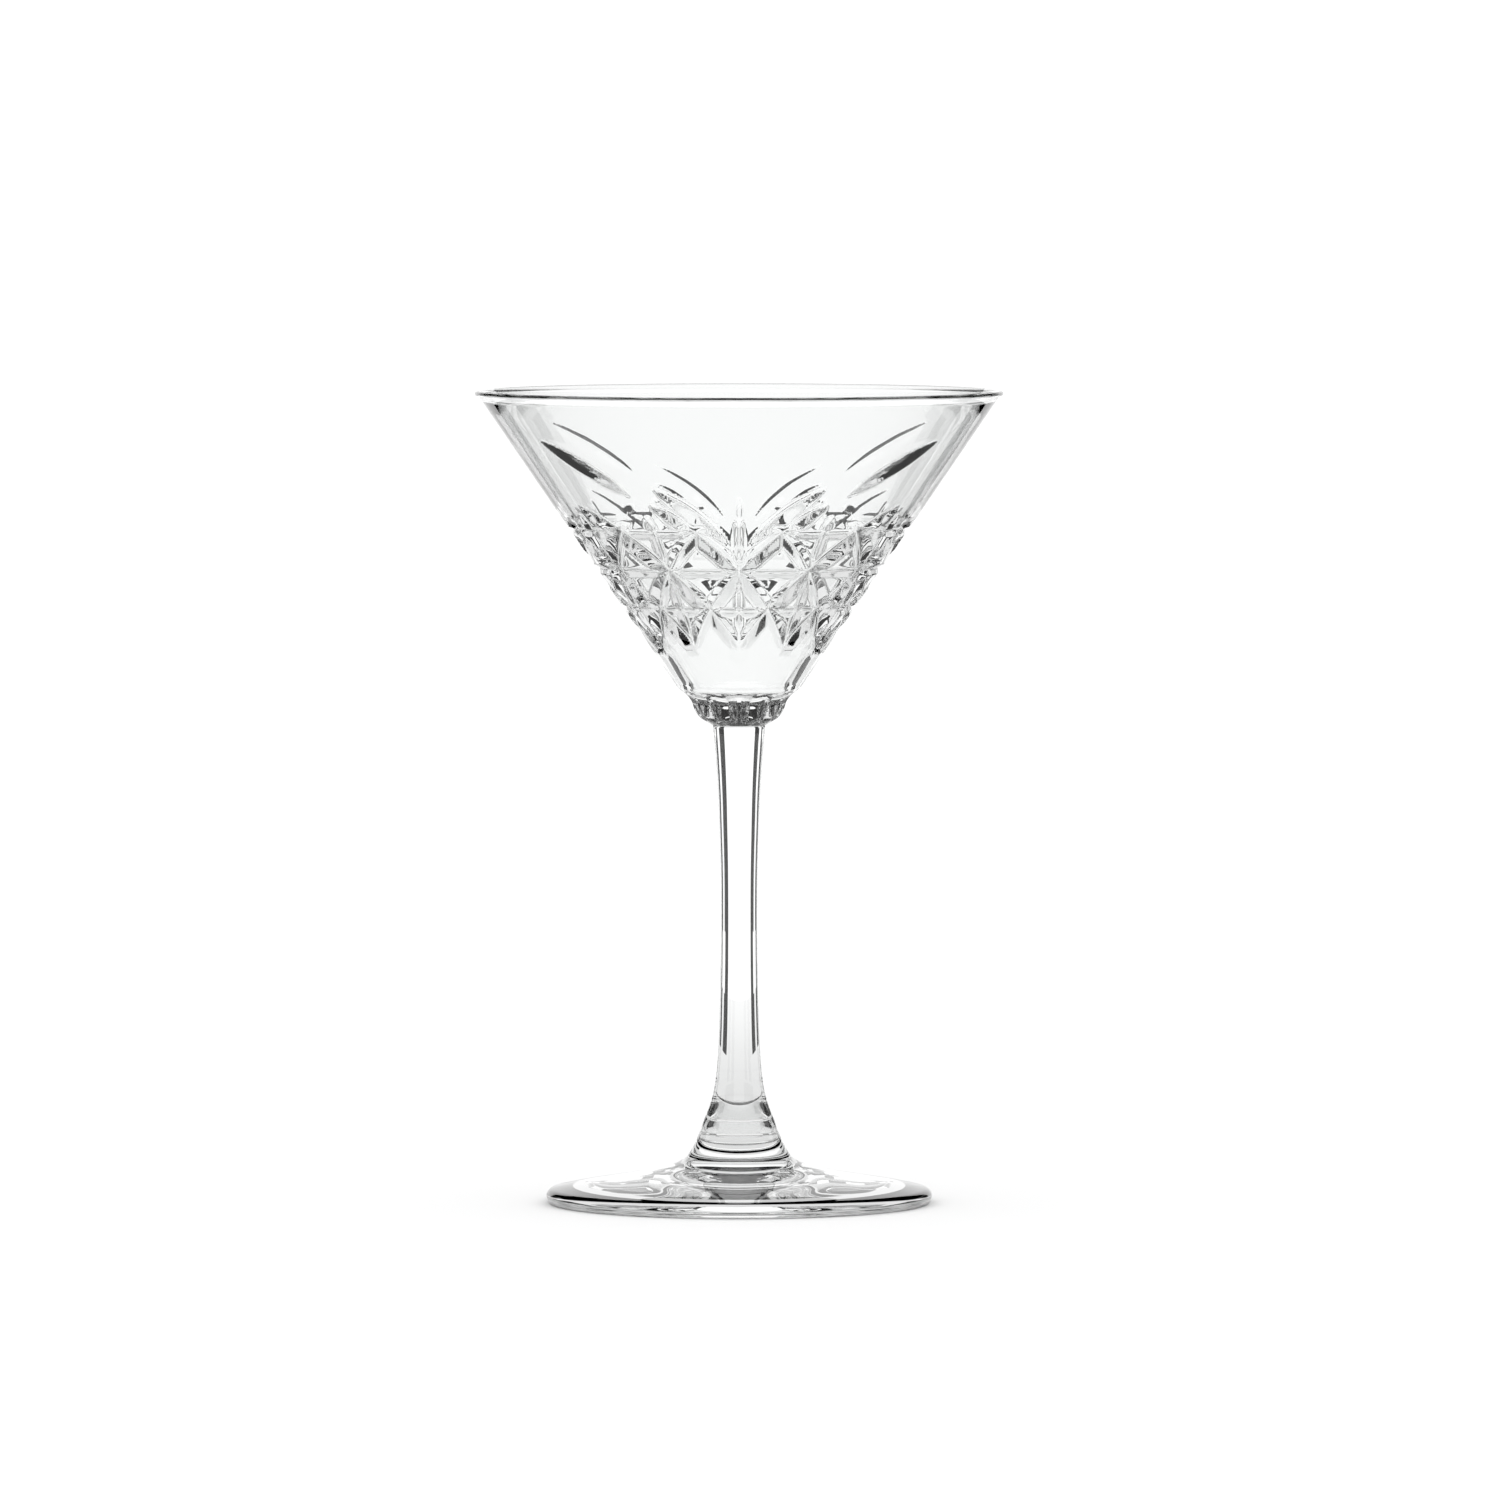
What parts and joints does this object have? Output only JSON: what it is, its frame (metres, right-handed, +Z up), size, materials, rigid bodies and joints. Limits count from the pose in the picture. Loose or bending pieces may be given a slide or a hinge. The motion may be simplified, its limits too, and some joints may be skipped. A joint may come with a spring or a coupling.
{
  "type": "martini glass",
  "caption": "Stemmed cocktail glass in clear pressed glass: conical bowl with a cut diamond and leaf pattern, waisted stem, round foot.",
  "frame": {"origin": "centre of the foot's underside, on the surface that the glass stands on", "axes": "+Z up the axis of the stem; -Y faces the front, where a valley between two leaf wings lies"},
  "size_m": [0.1116, 0.1116, 0.172],
  "materials": {
    "clear_glass": "clear, fire-polished, with crisp pressed facets"
  },
  "bodies": {
    "root": {"bowl": "clear_glass", "stem": "clear_glass", "foot": "clear_glass"}
  },
  "joints": []
}
